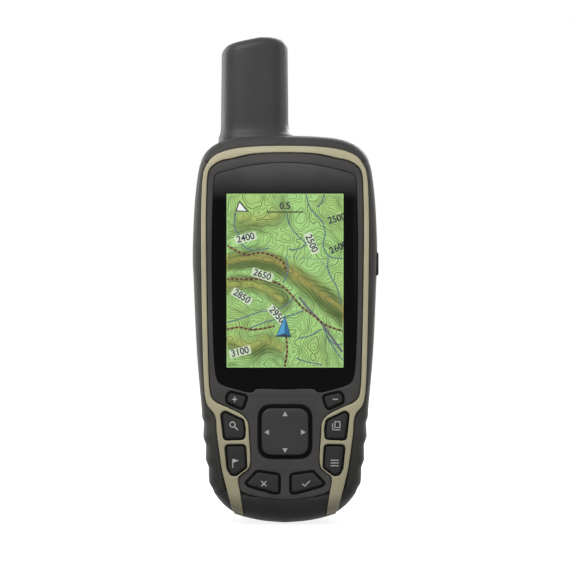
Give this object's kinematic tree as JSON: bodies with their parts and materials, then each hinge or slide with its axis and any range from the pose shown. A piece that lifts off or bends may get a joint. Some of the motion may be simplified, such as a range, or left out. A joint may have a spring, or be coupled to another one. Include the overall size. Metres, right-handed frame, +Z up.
{
  "type": "handheld gps unit",
  "caption": "Upright handheld satellite navigator with a stub antenna, a colour map screen, a rocker pad ringed by keys and a latched battery door on its back.",
  "frame": {"origin": "below the middle of the body, at the level of its lowest point", "axes": "+Z up along the body to the antenna, -Y out of the screen, +X to the right of someone facing the screen"},
  "size_m": [0.0612, 0.036, 0.16],
  "materials": {
    "dark_plastic": "fine grained dark grey moulding",
    "khaki_plastic": "satin khaki trim",
    "grip_rubber": "soft ribbed over-moulding",
    "seal_rubber": "matt black seal",
    "key_rubber": "matt charcoal silicone",
    "rocker_plastic": "satin charcoal",
    "antenna_plastic": "fine grained grey moulding",
    "pale_plastic": "plain",
    "black_plastic": "plain",
    "coax_jacket": "smooth jacket",
    "window_glass": "clear gloss window with a black border",
    "lcd_face": "display showing a plain contour map",
    "board_green": "solder resist",
    "copper": "bright winding",
    "steel": "plated steel",
    "cell_wrap": "plain printed wrap"
  },
  "bodies": {
    "body": {"front_housing": "dark_plastic", "rear_housing": "dark_plastic", "trim_frame": "khaki_plastic", "left_grip": "grip_rubber", "right_grip": "grip_rubber", "housing_gasket": "seal_rubber", "antenna_cover": "antenna_plastic", "antenna_former": "pale_plastic", "antenna_coax": "coax_jacket", "display_window": "window_glass", "lcd_panel": "lcd_face", "lcd_backlight": "pale_plastic", "main_board": "board_green", "keypad_sheet": "key_rubber", "power_switch": "steel", "battery_1": "cell_wrap", "battery_2": "cell_wrap", "battery_spring_1": "steel", "battery_spring_2": "steel", "contact_plate_bottom": "steel", "contact_plate_top": "steel", "latch_keeper": "steel", "usb_connector": "steel", "microsd_socket": "steel", "gps_receiver": "steel", "beeper": "black_plastic", "antenna_winding_1": "copper", "antenna_winding_2": "copper", "antenna_winding_3": "copper", "antenna_winding_4": "copper", "case_screw_1": "steel", "case_screw_2": "steel", "case_screw_3": "steel", "case_screw_4": "steel", "board_screw_1": "steel", "board_screw_2": "steel", "board_screw_3": "steel"},
    "key_in": {"key_in": "key_rubber"},
    "key_out": {"key_out": "key_rubber"},
    "key_find": {"key_find": "key_rubber"},
    "key_page": {"key_page": "key_rubber"},
    "key_mark": {"key_mark": "key_rubber"},
    "key_menu": {"key_menu": "key_rubber"},
    "key_quit": {"key_quit": "key_rubber"},
    "key_enter": {"key_enter": "key_rubber"},
    "rocker_hub": {"rocker_hub": "key_rubber"},
    "rocker": {"rocker_cap": "rocker_plastic"},
    "power_key": {"power_key": "key_rubber"},
    "door": {"battery_door": "dark_plastic", "door_gasket": "seal_rubber"},
    "latch": {"latch_cam": "steel"},
    "ring": {"d_ring": "steel"},
    "port_flap": {"weather_cap": "seal_rubber"}
  },
  "joints": [
    {"name": "press_in", "type": "slide", "parent": "body", "child": "key_in", "axis": [0, 1, 0], "range_m": [0, 0.0008], "stiffness_N_per_m": 2000},
    {"name": "press_out", "type": "slide", "parent": "body", "child": "key_out", "axis": [0, 1, 0], "range_m": [0, 0.0008], "stiffness_N_per_m": 2000},
    {"name": "press_find", "type": "slide", "parent": "body", "child": "key_find", "axis": [0, 1, 0], "range_m": [0, 0.0008], "stiffness_N_per_m": 2000},
    {"name": "press_page", "type": "slide", "parent": "body", "child": "key_page", "axis": [0, 1, 0], "range_m": [0, 0.0008], "stiffness_N_per_m": 2000},
    {"name": "press_mark", "type": "slide", "parent": "body", "child": "key_mark", "axis": [0, 1, 0], "range_m": [0, 0.0008], "stiffness_N_per_m": 2000},
    {"name": "press_menu", "type": "slide", "parent": "body", "child": "key_menu", "axis": [0, 1, 0], "range_m": [0, 0.0008], "stiffness_N_per_m": 2000},
    {"name": "press_quit", "type": "slide", "parent": "body", "child": "key_quit", "axis": [0, 1, 0], "range_m": [0, 0.0008], "stiffness_N_per_m": 2000},
    {"name": "press_enter", "type": "slide", "parent": "body", "child": "key_enter", "axis": [0, 1, 0], "range_m": [0, 0.0008], "stiffness_N_per_m": 2000},
    {"name": "rocker_tilt", "type": "hinge", "parent": "body", "child": "rocker_hub", "pos_m": [0, -0.0134, 0.0307], "axis": [1, 0, 0], "range_deg": [-3, 3], "stiffness_Nm_per_rad": 0.3},
    {"name": "rocker_pan", "type": "hinge", "parent": "rocker_hub", "child": "rocker", "pos_m": [0, -0.0134, 0.0307], "axis": [0, 0, 1], "range_deg": [-3, 3], "stiffness_Nm_per_rad": 0.3},
    {"name": "press_power", "type": "slide", "parent": "body", "child": "power_key", "axis": [-1, 0, 0], "range_m": [0, 0.0006], "stiffness_N_per_m": 2500},
    {"name": "door_lift", "type": "slide", "parent": "body", "child": "door", "axis": [0, 1, 0], "range_m": [0, 0.03], "deforming": ["latch_keeper"]},
    {"name": "latch_turn", "type": "hinge", "parent": "door", "child": "latch", "pos_m": [0, 0.0156, 0.012], "axis": [0, -1, 0], "range_deg": [0, 90]},
    {"name": "ring_flip", "type": "hinge", "parent": "latch", "child": "ring", "pos_m": [0, 0.0171, 0.012], "axis": [-1, 0, 0], "range_deg": [0, 100]},
    {"name": "flap_open", "type": "hinge", "parent": "body", "child": "port_flap", "pos_m": [0.016, 0.0138, 0.093], "axis": [-1, 0, 0], "range_deg": [0, 110]}
  ]
}
